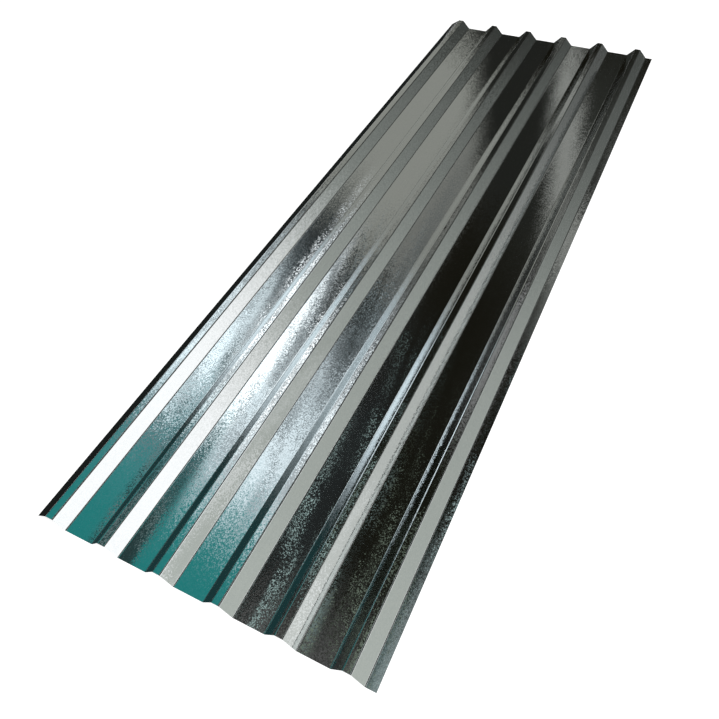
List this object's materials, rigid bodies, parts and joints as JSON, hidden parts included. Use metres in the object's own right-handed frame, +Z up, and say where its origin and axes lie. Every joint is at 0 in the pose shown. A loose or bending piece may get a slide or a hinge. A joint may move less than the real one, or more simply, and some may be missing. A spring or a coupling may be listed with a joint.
{
  "type": "profiled metal roofing sheet",
  "caption": "Long thin galvanised steel sheet rolled to straight trapezoid ribs with flat crests and wide flat pans, for covering roofs and walls.",
  "frame": {"origin": "middle of the sheet's bounding box at the underside of the pans", "axes": "+Y along the ribs, +X across the sheet from the lip edge to the flange edge, +Z up from the pans to the crests"},
  "size_m": [0.9962, 3, 0.0355],
  "materials": {
    "galvanised_steel": "bright hot-dip zinc with a fine spangle, smooth and mirror-like along the flats"
  },
  "bodies": {
    "root": {"profiled_sheet": "galvanised_steel"}
  },
  "joints": []
}
